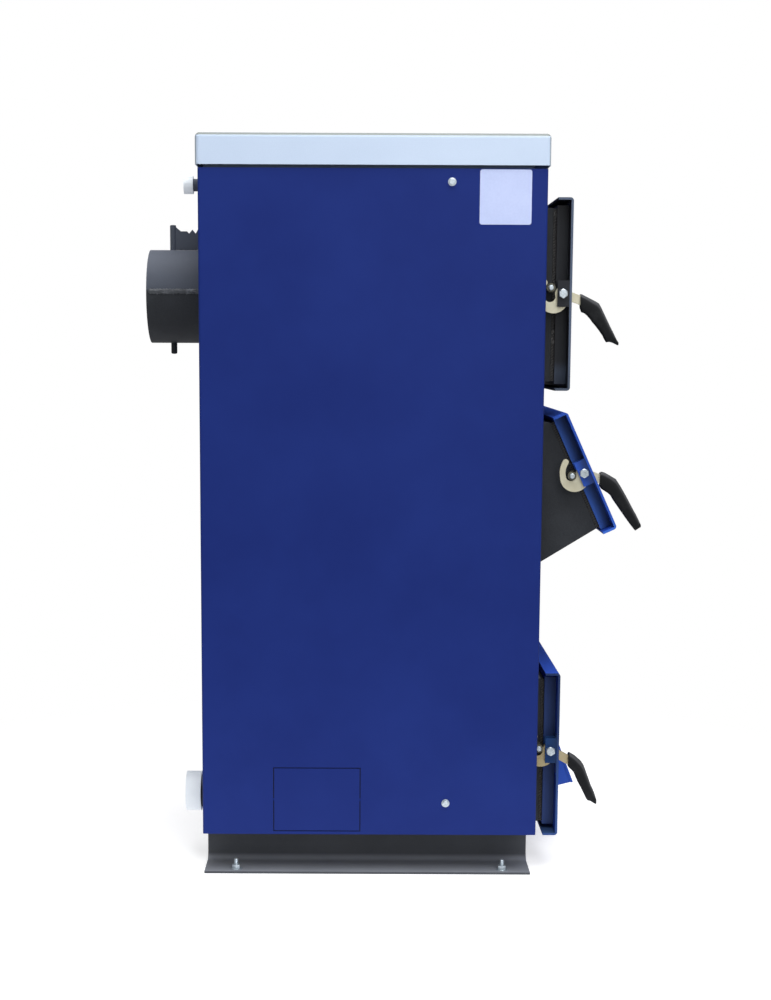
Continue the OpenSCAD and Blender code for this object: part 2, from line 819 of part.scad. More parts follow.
// Hinge ears on the core's side and the latch bracket behind the plate
module door_brackets(h, pivot, paint) {
    side_x = neck_half_w + core_lap;
    ear_half = ear_r - ear_relief;
    head_x = lever_x - slot_half_w - bracket_t;
    bolt_end_x = lever_x + slot_half_w + bracket_t;
    color(paint)
    for (s = [-1, 1])
        translate([0, 0, s * (h / 2 - ear_inset) - ear_t / 2]) linear_extrude(ear_t) difference() {
            union() {
                translate([side_x, hinge_back - ear_half]) square([hinge_x - side_x, 2 * ear_half]);
                translate([hinge_x, hinge_back]) circle(ear_r);
            }
            translate([hinge_x, hinge_back]) circle(d = pin_d + 2 * pin_gap);
        }
    color(paint)
    translate([0, 0, pivot]) {
        for (x = [head_x, bolt_end_x - bracket_t])
            block([x, plate_t, -bracket_h / 2], [x + bracket_t, core_back, bracket_h / 2]);
        translate([head_x, pivot_back, 0]) rotate([0, 90, 0]) cylinder(d = bolt_d, h = bolt_end_x - head_x);
    }
}

// Lug on the neck that carries one hinge pin, under one ear of the door
module hinge_lug() {
    lug_low = seat + lug_gap;
    lug_z = -ear_t / 2 - ear_gap - ear_t;
    translate([0, 0, lug_z]) {
        linear_extrude(ear_t) {
            translate([neck_half_w, lug_low]) square([hinge_x + ear_r - neck_half_w, lug_t]);
            translate([hinge_x - ear_r, hinge_back]) square([2 * ear_r, lug_low + lug_t - hinge_back]);
            translate([hinge_x, hinge_back]) circle(ear_r);
        }
        translate([hinge_x, hinge_back, 0]) cylinder(d = pin_d, h = 2 * ear_t + ear_gap + pin_rise);
    }
}

module hinge_pair(h) { for (s = [-1, 1]) translate([0, 0, s * (h / 2 - ear_inset)]) hinge_lug(); }

module hinge_lugs() {
    color(steel_dark) {
        at_cleaning() hinge_pair(cleaning_h);
        at_feed() hinge_pair(feed_h);
        at_ash() hinge_pair(ash_h);
    }
}

// Latches

module keeper(pivot, rise) {
    reach = neck_half_w + door_margin - keeper_inset;
    translate([-reach, pivot_back + keeper_back, pivot + rise]) rotate([0, 90, 0]) {
        cylinder(d = keeper_d, h = reach - neck_half_w);
        cylinder(d = keeper_head_d, h = keeper_head_t);
    }
}

module latch_keepers() {
    color(zinc_yellow) {
        at_cleaning() keeper(cleaning_pivot, cleaning_keeper);
        at_feed() keeper(feed_pivot, feed_keeper);
        at_ash() keeper(ash_pivot, ash_keeper);
    }
}

// Ring sector round the pivot, from one angle to another
module ring_sector(r_in, r_out, a_from, a_to) {
    far = 2 * r_out;
    a_mid = (a_from + a_to) / 2;
    intersection() {
        difference() {
            circle(r_out);
            circle(r_in);
        }
        polygon([[0, 0], far * [cos(a_from), sin(a_from)], far * [cos(a_mid), sin(a_mid)],
                 far * [cos(a_to), sin(a_to)]]);
    }
}

module lever_outline() {
    tip_mid = (channel_out + hook_r) / 2;
    across_tang = [-tang_dir[1], tang_dir[0]];
    arm_end = grip_start;
    tang_end = grip_start + tang_l * tang_dir;
    difference() {
        union() {
            circle(channel_in - hub_relief);
            translate(hook_belly) circle(hook_belly_r);
            ring_sector(channel_out, hook_r, hook_root_a, hook_tip_a);
            translate(tip_mid * [cos(hook_tip_a), sin(hook_tip_a)]) circle(hook_band / 2);
            polygon([[0, arm_w / 2], [arm_end[0], arm_end[1] + arm_w / 2],
                     [arm_end[0], arm_end[1] - arm_w / 2], [0, -arm_w / 2]]);
            polygon([arm_end + across_tang * tang_w / 2, arm_end - across_tang * tang_w / 2,
                     tang_end - across_tang * tang_w / 2, tang_end + across_tang * tang_w / 2]);
        }
        ring_sector(channel_in, channel_out, channel_end_a, channel_open_a);
        translate(channel_mid * [cos(channel_end_a), sin(channel_end_a)]) circle(channel_r);
        circle(d = bolt_d + 2 * pivot_gap);
    }
}

module latch_lever() { color(zinc_yellow) across(lever_t) lever_outline(); }

// Half of the grip between two places, each with its width
module grip_half(from, to, w_from, w_to, dir_from, dir_to) {
    x = grip_t / 2 - grip_r;
    hull()
        for (sx = [-1, 1], sw = [-1, 1]) {
            translate([sx * x, from[0] - sw * dir_from[1] * (w_from / 2 - grip_r),
                       from[1] + sw * dir_from[0] * (w_from / 2 - grip_r)]) sphere(r = grip_r, $fn = 20);
            translate([sx * x, to[0] - sw * dir_to[1] * (w_to / 2 - grip_r),
                       to[1] + sw * dir_to[0] * (w_to / 2 - grip_r)]) sphere(r = grip_r, $fn = 20);
        }
}

module latch_grip(grip_end) {
    end_dir = (grip_end - grip_knee) / norm(grip_end - grip_knee);
    knee_dir = (tang_dir + end_dir) / norm(tang_dir + end_dir);
    face = grip_start + grip_r * [-1, 0];
    slot_w = tang_w + 2 * tang_gap;
    tang_a = atan2(tang_dir[1], tang_dir[0]);
    color("#1c1d20")
    difference() {
        union() {
            grip_half(face, grip_knee, grip_start_w, grip_knee_w, [-1, 0], knee_dir);
            grip_half(grip_knee, grip_end, grip_knee_w, grip_end_w, knee_dir, end_dir);
        }
        across(lever_t + 2 * tang_gap)
            translate(grip_start) rotate(tang_a) translate([-slot_reach, -slot_w / 2])
                square([slot_reach + tang_l + tang_gap, slot_w]);
    }
}

// Air inlet of the ash door

module flap_frame() { translate([0, -flap_out, flap_rise]) rotate([-flap_lean, 0, 0]) children(); }

module inlet_frame() {
    lean = [-sin(flap_lean), -cos(flap_lean)];
    back = [cos(flap_lean), -sin(flap_lean)];
    hinge = [-flap_out, flap_rise];
    edge_top = hinge + cheek_start * lean + flap_rest * back;
    edge_end = hinge + (flap_l - cheek_stop) * lean + flap_rest * back;
    bottom = edge_end[1] - sill_drop;
    floor_d = -edge_end[0] - sill_inset;
    inner = air_w / 2;
    rod_hole = flap_rod_d + 2 * flap_gap;
    lug_x = flap_half_w + flap_lug_w / 2 + flap_gap;
    color(door_blue) {
        for (s = [-1, 1])
            translate([s * (inner + cheek_t / 2), 0, 0]) across(cheek_t)
                polygon([[0, edge_top[1]], edge_top, edge_end, [-floor_d, bottom], [0, bottom]]);
        block([-inner - cut, -floor_d, bottom], [inner + cut, 0, bottom + cheek_t]);
        for (s = [-1, 1])
            translate([s * lug_x, 0, flap_rise]) across(flap_lug_w) difference() {
                union() {
                    translate([-flap_out, -flap_rod_d]) square([flap_out, 2 * flap_rod_d]);
                    translate([-flap_out, 0]) circle(flap_rod_d);
                }
                translate([-flap_out, 0]) circle(d = rod_hole);
                translate([0, -2 * flap_rod_d]) square(4 * flap_rod_d);
            }
    }
}

module flap_plate() {
    rod_l = 2 * (flap_half_w + flap_lug_w + flap_gap);
    color(door_blue)
    flap_frame() {
        translate([-flap_half_w, -flap_t / 2, -flap_l]) cube([2 * flap_half_w, flap_t, flap_l]);
        rotate([0, 90, 0]) cylinder(d = flap_rod_d, h = rod_l, center = true);
    }
}

module cleaning_door_pan() { at_cleaning() door_pan(cleaning_h, cleaning_pivot, "#26282c"); }
module cleaning_door_core() { at_cleaning() door_core(cleaning_neck_h, "#26282c"); }
module cleaning_door_gasket() { at_cleaning() door_gasket(cleaning_neck_h); }
module cleaning_door_brackets() { at_cleaning() door_brackets(cleaning_h, cleaning_pivot, "#26282c"); }
module feed_door_pan() { at_feed() door_pan(feed_h, feed_pivot, door_blue); }
module feed_door_core() { at_feed() door_core(feed_neck_h, door_blue); }
module feed_door_gasket() { at_feed() door_gasket(feed_neck_h); }
module feed_door_brackets() { at_feed() door_brackets(feed_h, feed_pivot, door_blue); }

// Hole for the combustion air, through the plate and the core
module air_hole() {
    translate([-air_w / 2, -cut, flap_rise - air_drop - air_h]) cube([air_w, seat + shield_t + cut, air_h]);
}

module ash_door_pan() {
    color(door_blue)
    at_ash() difference() {
        door_pan(ash_h, ash_pivot, door_blue);
        air_hole();
    }
}

module ash_door_core() {
    color(door_blue)
    at_ash() difference() {
        door_core(ash_neck_h, door_blue);
        air_hole();
    }
}

module ash_door_gasket() { at_ash() door_gasket(ash_neck_h); }
module ash_door_brackets() { at_ash() door_brackets(ash_h, ash_pivot, door_blue); }
module air_inlet_frame() { at_ash() inlet_frame(); }
module air_flap() { at_ash() flap_plate(); }

module cleaning_lever() { at_cleaning() at_lever(cleaning_pivot, cleaning_turn) latch_lever(); }
module cleaning_grip() { at_cleaning() at_lever(cleaning_pivot, cleaning_turn) latch_grip(cleaning_grip_end); }
module feed_lever() { at_feed() at_lever(feed_pivot, feed_turn) latch_lever(); }
module feed_grip() { at_feed() at_lever(feed_pivot, feed_turn) latch_grip(feed_grip_end); }
module ash_lever() { at_ash() at_lever(ash_pivot, ash_turn) latch_lever(); }
module ash_grip() { at_ash() at_lever(ash_pivot, ash_turn) latch_grip(ash_grip_end); }

base_rails();
base_sills();
vessel_floor();
left_water_wall();
right_water_wall();
rear_water_wall();
front_water_wall();
vessel_top();
heat_exchanger_shelf();
grate();
ash_neck();
feed_chute();
cleaning_neck();
left_side_panel();
right_side_panel();
front_panels();
rear_panel_lower();
rear_panel_upper();
lid();
wool_lining();
flue_spigot();
water_nozzles();
nozzle_caps();
latch_keepers();
hinge_lugs();
cleaning_door_pan();
cleaning_door_core();
cleaning_door_gasket();
cleaning_door_brackets();
feed_door_pan();
feed_door_core();
feed_door_gasket();
feed_door_brackets();
ash_door_pan();
ash_door_core();
ash_door_gasket();
ash_door_brackets();
air_inlet_frame();
cleaning_lever();
cleaning_grip();
feed_lever();
feed_grip();
ash_lever();
ash_grip();
air_flap();
damper();
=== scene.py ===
import json
import math

import bpy
from mathutils import Matrix, Vector

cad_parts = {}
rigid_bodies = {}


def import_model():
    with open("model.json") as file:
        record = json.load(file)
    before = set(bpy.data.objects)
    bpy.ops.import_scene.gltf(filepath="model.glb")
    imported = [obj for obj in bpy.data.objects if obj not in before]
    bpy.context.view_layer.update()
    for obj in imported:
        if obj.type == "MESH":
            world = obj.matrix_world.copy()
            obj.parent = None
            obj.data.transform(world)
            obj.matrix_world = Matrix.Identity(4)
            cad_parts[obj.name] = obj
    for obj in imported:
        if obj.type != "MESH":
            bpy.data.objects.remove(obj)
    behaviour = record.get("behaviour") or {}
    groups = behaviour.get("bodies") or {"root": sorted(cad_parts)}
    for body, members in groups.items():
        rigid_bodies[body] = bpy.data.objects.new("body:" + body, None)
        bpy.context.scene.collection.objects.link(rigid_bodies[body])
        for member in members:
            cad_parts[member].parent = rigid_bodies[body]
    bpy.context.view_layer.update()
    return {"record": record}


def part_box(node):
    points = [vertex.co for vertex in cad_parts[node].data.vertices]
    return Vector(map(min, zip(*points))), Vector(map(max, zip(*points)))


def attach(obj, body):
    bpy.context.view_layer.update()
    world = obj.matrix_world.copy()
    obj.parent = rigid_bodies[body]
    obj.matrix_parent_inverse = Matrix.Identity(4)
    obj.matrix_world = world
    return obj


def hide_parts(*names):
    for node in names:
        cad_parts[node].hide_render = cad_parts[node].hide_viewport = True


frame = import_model()
scene = bpy.context.scene

# Places of the boiler's fittings, in metres
SIDE_X = 0.230
DOOR_EDGE_X = 0.200
LEVER_X = -0.189
FLUE_Z = 1.008
FLUE_R = 0.083
FLUE_REAR = (0.292, 0.398)
SEAM_Z = 1.0150
CLEANING_PIVOT = (-0.324, 1.0105)
FEED_PIVOT = (-0.366536, 0.70569)
ASH_PIVOT = (-0.3185, 0.216)
KEEPER_BACK = 0.0205
FEED_SLANT = math.radians(24.5)
ANCHORS = [(x, y) for x in (-0.214, 0.214) for y in (-0.235, 0.235)]
FLANGE_TOP = 0.004
ROD_Y = 0.358
ROD_D = 0.0106

# Where the finishes change, each as the start and end of a smooth step, in metres
ASH_DOOR_TOP = (0.36, 0.40)
ASH_DOOR_FOOT = (0.12, 0.20)
FEED_DOOR_TOP = (0.86, 0.90)
FEED_DOOR_FOOT = (0.60, 0.64)
CUT_EDGE_START = (DOOR_EDGE_X - 0.0006, DOOR_EDGE_X - 0.0002)
CUT_EDGE_END = (DOOR_EDGE_X + 0.0004, DOOR_EDGE_X + 0.0010)
PAN_START = (0.12, 0.13)
PAN_END = (DOOR_EDGE_X - 0.0009, DOOR_EDGE_X - 0.0006)
ASH_CORNER = (0.308, 0.331)
FEED_CORNER = (0.609, 0.636)
BASE_FOOT = (0.0, 0.10)
FLANGE_ZONE = (0.005, 0.03)
RAIL_START = (0.045, 0.071)
RAIL_END = (0.0722, 0.0732)
FLUE_START = (FLUE_REAR[0] - 0.003, FLUE_REAR[0])
ABOVE_SEAM = (SEAM_Z, SEAM_Z + 0.004)
UNDER_LID = (1.190, 1.196)
GAP_SHADE = (SIDE_X - 0.0160, SIDE_X - 0.0130)
PALER_LEVERS = (0.30, 0.50)
FLOOR_FADE = (0.45, 1.3)


# Shader sums

class Wire:
    """A socket in a material's node tree that can be used in sums."""

    def __init__(self, tree, socket=None):
        self.tree = tree
        self.socket = socket

    def node(self, kind, settings=None, inputs=None, out=0):
        """A new node in the same tree: its settings, what goes in, and which socket comes out."""
        made = self.tree.nodes.new(kind)
        for name, value in (settings or {}).items():
            setattr(made, name, value)
        for key, value in (inputs or {}).items():
            if isinstance(value, Wire):
                self.tree.links.new(value.socket, made.inputs[key])
            else:
                made.inputs[key].default_value = value
        return Wire(self.tree, made.outputs[out] if made.outputs else None)

    def sum(self, operation, first, second=0.0, third=0.0):
        return self.node("ShaderNodeMath", {"operation": operation}, {0: first, 1: second, 2: third})

    def __add__(self, other):
        return self.sum("ADD", self, other)

    __radd__ = __add__

    def __sub__(self, other):
        return self.sum("SUBTRACT", self, other)

    def __rsub__(self, other):
        return self.sum("SUBTRACT", other, self)

    def __mul__(self, other):
        return self.sum("MULTIPLY", self, other)

    __rmul__ = __mul__

    def __pow__(self, other):
        return self.sum("POWER", self, other)

    def __abs__(self):
        return self.sum("ABSOLUTE", self)

    def sine(self):
        return self.sum("SINE", self)

    def larger(self, other):
        return self.sum("MAXIMUM", self, other)

    def over(self, low, high):
        """0 below low, 1 above high, with a smooth step between."""
        return self.node("ShaderNodeMapRange", {"interpolation_type": "SMOOTHSTEP", "clamp": True},
                         {"Value": self, "From Min": low, "From Max": high})

    def noise(self, scale, detail=3.0, rough=0.55):
        return self.node("ShaderNodeTexNoise", {}, {"Vector": self, "Scale": scale, "Detail": detail,
                                                    "Roughness": rough})

    def blend(self, low, high):
        """Colour low where this is 0 and high where it is 1."""
        return self.node("ShaderNodeMix", {"data_type": "RGBA", "clamp_factor": True},
                         {"Factor": self, 6: low, 7: high}, out=2)

    def stretched(self, x, y, z):
        return self.node("ShaderNodeMapping", {}, {"Vector": self, "Scale": (x, y, z)})

    def bump(self, distance, strength=1.0, under=None):
        inputs = {"Height": self, "Distance": distance, "Strength": strength}
        if under is not None:
            inputs["Normal"] = under
        return self.node("ShaderNodeBump", {}, inputs)


def rgb(red, green, blue):
    return (red, green, blue, 1.0)


SOCKETS = {"specular": "Specular IOR Level"}


def material(name, paint, **fixed):
    """A new material: paint(places) gives what varies, fixed gives what is the same all over."""
    made = bpy.data.materials.new(name)
    made.use_nodes = True
    tree = made.node_tree
    tree.nodes.clear()
    start = Wire(tree)
    places = start.node("ShaderNodeTexCoord", out="Object")
    varying = paint(places)
    values = {**fixed, **varying}
    inputs = {SOCKETS.get(key, key.replace("_", " ").title()): value for key, value in values.items()}
    shader = start.node("ShaderNodeBsdfPrincipled", {}, inputs)
    start.node("ShaderNodeOutputMaterial", {}, {"Surface": shader})
    return made


def axis(places, out):
    """The X, Y or Z part of a place or a direction."""
    return places.node("ShaderNodeSeparateXYZ", {}, {"Vector": places}, out=out)


def facing(places, out):
    """How far a face looks along X, Y or Z, from -1 to 1."""
    return axis(places.node("ShaderNodeNewGeometry", out="Normal"), out)


def facing_up(places):
    """1 on faces that look up, 0 on upright ones."""
    return facing(places, "Z").over(0.35, 0.95)


def scratches(places, scale, share):
    """Thin broken lines, for rubbed paint."""
    lines = places.stretched(1.0, 1.0, 14.0).noise(scale, 4.0, 0.7)
    patches = places.noise(scale * 0.12, 2.0)
    return lines.over(0.72 - share, 0.78) * patches.over(0.48, 0.62)


def powder_coat(low, high, edge, pan_shade, rough, peel, painted_top_light=0.5, lit=None, shade=None):
    """Baked powder paint: orange peel, faint clouds, a painted highlight on the cut edges and on what faces
    up, painted shade inside the door pans.

    lit is painted light on the slanted feed door's edges and pan, and shade is painted shade on the ash
    door's edges and foot."""
    lit, shade = lit or edge, shade or edge

    def paint(places):
        clouds = places.noise(4.5, 4.0, 0.6)
        grain = places.noise(1500.0, 2.0)
        upward = facing_up(places)
        dust = places.noise(38.0, 5.0, 0.7).over(0.58, 0.85) * upward
        chips = scratches(places, 60.0, 0.0)
        side = abs(axis(places, "X"))
        ahead = 0.0 - axis(places, "Y")
        height = axis(places, "Z")
        slanted = math.cos(FEED_SLANT) * ahead + math.sin(FEED_SLANT) * height

        # The doors by height, their cut edges, the insides of their pans and the corners behind the plates,
        # which take painted light and shade
        ash = 1.0 - height.over(*ASH_DOOR_TOP)
        ash_foot = ash * (1.0 - height.over(*ASH_DOOR_FOOT))
        feed = (1.0 - ash) * (1.0 - height.over(*FEED_DOOR_TOP))
        feed_foot = 1.0 - height.over(*FEED_DOOR_FOOT)
        cut = side.over(*CUT_EDGE_START) * (1.0 - side.over(*CUT_EDGE_END))
        sideways = abs(facing(places, "X")).over(0.6, 0.9)
        inside = sideways * side.over(*PAN_START) * (1.0 - side.over(*PAN_END))
        corner_shade = ash * ahead.over(*ASH_CORNER) + feed * slanted.over(*FEED_CORNER)
        # How strong the painted highlight on the cut edges is, weaker on the feed and ash doors
        bright = 1.0 - 0.7 * feed - ash * (0.55 + 0.45 * height.over(0.09, 0.30))

        color = (clouds * 0.8 + grain * 0.2).over(0.3, 0.7).blend(low, high)
        # Painted shade inside the door pans, and painted light inside the feed door's pan
        color = (inside * (0.25 + 0.45 * ash)).blend(color, pan_shade)
        color = (inside * feed * 0.9).blend(color, lit)
        # Painted shade in the corners behind the door plates
        color = (inside * corner_shade * (0.8 - 0.3 * ash)).blend(color, rgb(0.012, 0.017, 0.030))
        # Painted highlight on the cut edges, partly chipped paint; painted light on the feed door's edges
        # and painted shade on the ash door's
        color = (cut * bright * (0.65 + 0.35 * chips)).blend(color, edge)
        color = (cut * feed * (0.3 + 0.7 * feed_foot)).blend(color, lit)
        color = (cut * ash * 0.75).blend(color, shade)
        color = (cut * ash * height.over(0.10, 0.28) * 0.7).blend(color, rgb(0.012, 0.022, 0.07))
        # Painted light on what faces up, and painted shade on the foot of the ash door
        color = (upward * painted_top_light).blend(color, ash_foot.blend(edge, shade))
        color = (dust * 0.05).blend(color, rgb(0.30, 0.32, 0.38))
        relief = places.noise(620.0, 2.0, 0.5).bump(peel, 0.6)
        relief = places.noise(5.0, 1.0).bump(0.0016, 0.35, relief)
        dull = rough + (painted_top_light - 0.5) * 0.8 * upward + 0.10 * grain + 0.12 * dust + 0.06 * clouds
        return {"base_color": color, "roughness": dull, "normal": relief}
    return paint


def heat_paint(low, high, worn, rough):
    """Matt heat-proof paint sprayed on mill plate: speckle, rubbed places, pale dust and painted light on
    what faces up, painted light on the flue's top, painted shade under the casing.
    """
    def paint(places):
        clouds = places.noise(11.0, 5.0, 0.65)
        speckle = places.noise(420.0, 3.0, 0.6)
        rubs = scratches(places, 85.0, 0.02)
        upward = facing_up(places)
        dust = upward * places.noise(24.0, 5.0, 0.7).over(0.35, 0.75)
        height = axis(places, "Z")
        flue_top_light = axis(places, "Y").over(*FLUE_START) * height.over(*ABOVE_SEAM)
        foot = 1.0 - height.over(*BASE_FOOT)
        shade_under_casing = height.over(*RAIL_START) * (1.0 - height.over(*RAIL_END))
        flange_top_light = upward * (1.0 - height.over(*FLANGE_ZONE))
        color = (clouds * 0.7 + speckle * 0.3).over(0.32, 0.68).blend(low, high)
        color = (rubs * 0.55).blend(color, worn)
        # Painted light on the upper half of the flue spigot
        color = (flue_top_light * (0.5 + 0.4 * clouds)).blend(color, rgb(0.102, 0.118, 0.155))
        # Paler towards the floor, and painted shade on the base just under the casing
        color = (foot * (0.5 + 0.35 * clouds)).blend(color, rgb(0.085, 0.092, 0.108))
        color = (shade_under_casing * 0.6).blend(color, rgb(0.012, 0.014, 0.018))
        # Paler on what faces up: mostly painted light from above, partly dust
        color = (upward * 0.75 + dust * 0.25).blend(color, rgb(0.135, 0.150, 0.185))
        # Painted light on the top of the base's flange
        color = (flange_top_light * (0.6 + 0.4 * clouds)).blend(color, rgb(0.25, 0.265, 0.30))
        relief = speckle.bump(0.00022, 0.8)
        relief = places.noise(60.0, 3.0).bump(0.0007, 0.4, relief)
        return {"base_color": color, "roughness": rough + 0.16 * speckle - 0.12 * rubs, "normal": relief}
    return paint


def weld_bead(places):
    """Rippled bead, brushed bright in places."""
    ripple = places.noise(160.0, 3.0, 0.6)
    brushed = places.noise(48.0, 4.0, 0.7).over(0.45, 0.65)
    color = ripple.blend(rgb(0.045, 0.050, 0.058), rgb(0.10, 0.11, 0.125))
    color = (brushed * 0.7).blend(color, rgb(0.21, 0.23, 0.265))
    return {"base_color": color, "roughness": 0.42 + 0.2 * ripple, "normal": ripple.bump(0.0006, 0.7)}


def soot_plate(places):
    """Boiler plate under soot, with flakes and a little rust."""
    clouds = places.noise(14.0, 6.0, 0.7)
    flakes = places.noise(95.0, 4.0, 0.75)
    rust = places.noise(7.0, 4.0).over(0.56, 0.72)
    color = flakes.over(0.3, 0.7).blend(rgb(0.018, 0.018, 0.019), rgb(0.062, 0.060, 0.058))
    color = (rust * clouds * 0.6).blend(color, rgb(0.085, 0.048, 0.028))
    return {"base_color": color, "roughness": 0.72 + 0.2 * flakes, "normal": flakes.bump(0.0009, 0.7)}


def cast_bars(places):
    """Rough cast iron, with ash lying on what faces up."""
    grains = places.noise(230.0, 4.0, 0.7)
    ash = places.noise(22.0, 5.0, 0.7).over(0.5, 0.75) * facing_up(places)
    color = grains.over(0.3, 0.7).blend(rgb(0.020, 0.020, 0.021), rgb(0.05, 0.049, 0.048))
    color = (ash * 0.6).blend(color, rgb(0.30, 0.29, 0.28))
    return {"base_color": color, "roughness": 0.62 + 0.25 * grains, "normal": grains.bump(0.0008, 0.8)}


def yellow_zinc(places):
    """Yellow passivated zinc: drifting straw and rose tints over rolled sheet."""
    drift = places.noise(26.0, 3.0, 0.6)
    tint = places.noise(61.0, 2.0)
    grain = places.stretched(1.0, 9.0, 1.0).noise(330.0, 3.0)
    color = drift.over(0.35, 0.68).blend(rgb(0.55, 0.48, 0.29), rgb(0.70, 0.65, 0.48))
    color = (tint.over(0.55, 0.75) * 0.35).blend(color, rgb(0.66, 0.56, 0.46))
    color = (grain.over(0.6, 0.8) * 0.3).blend(color, rgb(0.40, 0.34, 0.20))
    # Painted light on the upper levers and painted shade on the low ash lever
    lever_light = axis(places, "Z").over(*PALER_LEVERS)
    color = (0.5 * lever_light).blend(color, rgb(0.82, 0.82, 0.68))
    color = (0.5 * (1.0 - lever_light)).blend(color, rgb(0.34, 0.25, 0.11))
    relief = grain.bump(0.00012, 0.5)
    return {"base_color": color, "roughness": 0.34 + 0.2 * grain + 0.1 * drift, "normal": relief}


def bright_zinc(places):
    """Bright zinc on the bolts and screws, with a faint film."""
    spangle = places.noise(480.0, 3.0, 0.6)
    film = places.noise(90.0, 2.0)
    color = spangle.over(0.3, 0.7).blend(rgb(0.50, 0.57, 0.63), rgb(0.66, 0.74, 0.80))
    color = (film.over(0.55, 0.75) * 0.5).blend(color, rgb(0.36, 0.40, 0.42))
    relief = film.bump(0.0004, 0.5, spangle.bump(0.00008, 0.5))
    return {"base_color": color, "roughness": 0.24 + 0.2 * spangle, "normal": relief}


def shaded_keeper_zinc(places):
    """Grey zinc darkened as painted shade, on the keepers."""
    film = places.noise(90.0, 3.0, 0.6)
    grain = places.noise(520.0, 2.0)
    color = film.over(0.35, 0.7).blend(rgb(0.085, 0.082, 0.062), rgb(0.16, 0.155, 0.115))
    return {"base_color": color, "roughness": 0.45 + 0.2 * grain, "normal": grain.bump(0.0002, 0.5)}


def black_grip(places):
    """Black moulded plastic with rubbed patches, and a painted highlight along the top edge."""
    grain = places.noise(900.0, 3.0, 0.6)
    rubbed = places.noise(30.0, 4.0, 0.65).over(0.5, 0.72)
    color = rubbed.blend(rgb(0.0075, 0.0085, 0.0100), rgb(0.013, 0.014, 0.016))
    # Painted highlight on the faces that look up and forward
    grip_edge_highlight = (0.75 * facing(places, "Z") - 0.66 * facing(places, "Y")).over(0.0, 0.36)
    color = (grip_edge_highlight * (0.7 + 0.3 * rubbed)).blend(color, rgb(0.088, 0.090, 0.098))
    relief = grain.bump(0.00012, 0.6)
    return {"base_color": color, "roughness": 0.42 + 0.16 * grain - 0.1 * rubbed, "normal": relief}


def white_cap(places):
    """White moulded plastic with flow marks and smudges."""
    flow = places.noise(35.0, 4.0, 0.6)
    smudge = places.noise(70.0, 5.0, 0.7).over(0.6, 0.8)
    color = flow.blend(rgb(0.74, 0.79, 0.83), rgb(0.82, 0.86, 0.89))
    color = (smudge * 0.3).blend(color, rgb(0.45, 0.43, 0.38))
    return {"base_color": color, "roughness": 0.36 + 0.2 * flow, "normal": flow.bump(0.0003, 0.4)}


def silver_lid(places):
    """Silver powder paint with fine flakes, and a dark olive band along the rounded edges."""
    flakes = places.noise(2100.0, 1.0)
    clouds = places.noise(5.0, 3.0)
    dust = places.noise(30.0, 5.0, 0.7).over(0.5, 0.8) * facing_up(places)
    color = (flakes * 0.5 + clouds * 0.5).over(0.3, 0.7).blend(rgb(0.50, 0.61, 0.78), rgb(0.58, 0.69, 0.86))
    color = (dust * 0.3).blend(color, rgb(0.5, 0.49, 0.46))
    rise = facing(places, "Z")
    ends = abs(facing(places, "Y"))
    top_edge = rise.over(0.30, 0.55) * (1.0 - rise.over(0.96, 0.99))
    end_edge = 0.6 * ends.over(0.55, 0.8) * (1.0 - ends.over(0.97, 0.99))
    olive = clouds.blend(rgb(0.11, 0.115, 0.070), rgb(0.17, 0.175, 0.115))
    color = (top_edge.larger(end_edge) * 0.8).blend(color, olive)
    relief = places.noise(560.0, 2.0).bump(0.00009, 0.6)
    return {"base_color": color, "roughness": 0.4 + 0.18 * flakes + 0.1 * dust, "normal": relief}


def rope_gasket(places):
    """Woven glass rope, blackened by paint and soot, with paler fibres on the cleaning door."""
    ends = axis(places, "X") + axis(places, "Y") * 0.6 + axis(places, "Z")
    strands = (ends * 1300.0 + 6.0 * places.noise(40.0)).sine()
    clean = places.noise(34.0, 4.0, 0.7).over(0.56, 0.66) * axis(places, "Z").over(*FEED_DOOR_TOP)
    color = (strands * 0.5 + 0.5).blend(rgb(0.020, 0.020, 0.021), rgb(0.046, 0.045, 0.044))
    color = clean.blend(color, rgb(0.11, 0.11, 0.108))
    return {"base_color": color, "roughness": 0.8 + 0.1 * clean, "normal": strands.bump(0.0005, 0.7)}


def mineral_wool(places):
    """Yellow wool, black on its outer faces as painted shade in the gaps, and grey-blue under the lid as
    painted light from the lid.
    """
    fibres = places.stretched(1.0, 1.0, 7.0).noise(150.0, 6.0, 0.75)
    tufts = places.noise(30.0, 4.0, 0.7)
    gap_shade = abs(axis(places, "X")).over(*GAP_SHADE)
    painted_lid_light = tufts.blend(rgb(0.11, 0.15, 0.23), rgb(0.15, 0.20, 0.30))
    color = (fibres * 0.6 + tufts * 0.4).over(0.3, 0.7).blend(rgb(0.34, 0.27, 0.14), rgb(0.62, 0.54, 0.34))
    # Painted shade: black on the wool's outer faces, seen through the gaps in the casing
    color = gap_shade.blend(color, tufts.blend(rgb(0.004, 0.004, 0.006), rgb(0.012, 0.012, 0.015)))
    # Painted light from the lid on the wool just under it
    color = axis(places, "Z").over(*UNDER_LID).blend(color, painted_lid_light)
    return {"base_color": color, "roughness": 0.9 + 0.1 * tufts, "normal": fibres.bump(0.002, 0.8)}


def sticker_paper(places):
    """Coated white paper."""
    fibre = places.noise(260.0, 4.0, 0.6)
    cloud = places.noise(20.0, 3.0)
    color = (fibre * 0.4 + cloud * 0.6).over(0.3, 0.7).blend(rgb(0.49, 0.57, 0.86), rgb(0.55, 0.63, 0.92))
    return {"base_color": color, "roughness": 0.38 + 0.14 * cloud, "normal": cloud.bump(0.0004, 0.3)}


